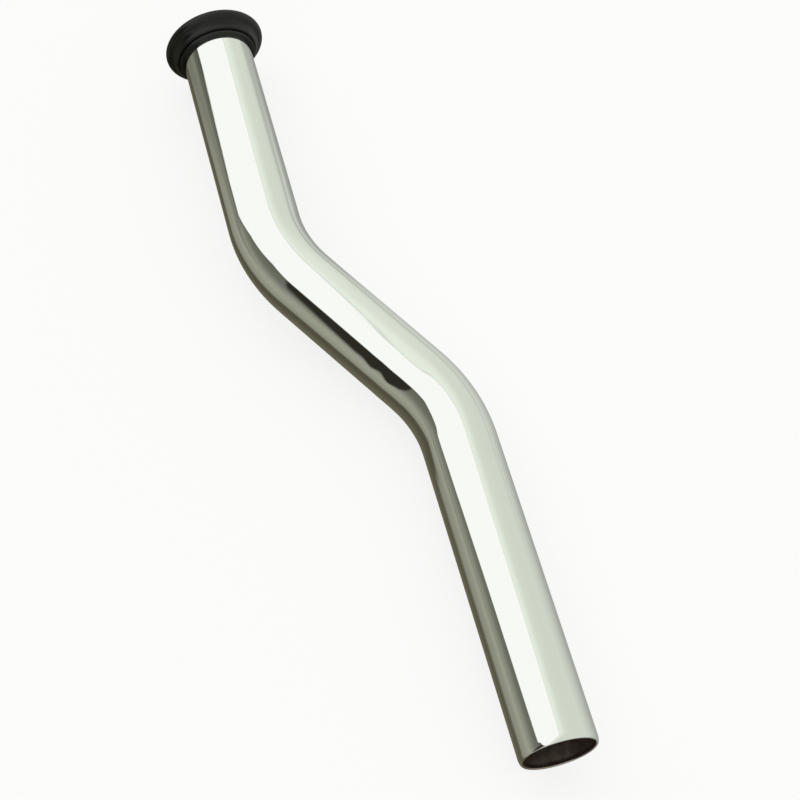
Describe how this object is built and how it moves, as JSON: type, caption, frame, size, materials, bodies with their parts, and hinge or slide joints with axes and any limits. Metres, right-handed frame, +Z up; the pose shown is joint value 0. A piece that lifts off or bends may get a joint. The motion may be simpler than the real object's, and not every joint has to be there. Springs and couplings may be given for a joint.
{
  "type": "urinal flush pipe",
  "caption": "Chrome-plated offset flush pipe for a urinal, with a black rubber seal on the upper end and a turned-in lower end.",
  "frame": {"origin": "on the ground, under the middle of the outer box, with the pipe lying as it comes to rest", "axes": "+X along both straight legs, the way the water runs, towards the lower end; +Y from the upper leg towards the lower leg; +Z up from the ground"},
  "size_m": [0.3688, 0.0942, 0.046],
  "materials": {
    "chrome_plate": "bright plated, polished",
    "black_rubber": "moulded, matt with a soft sheen"
  },
  "bodies": {
    "root": {"flush_tube": "chrome_plate", "flange_seal": "black_rubber"}
  },
  "joints": []
}
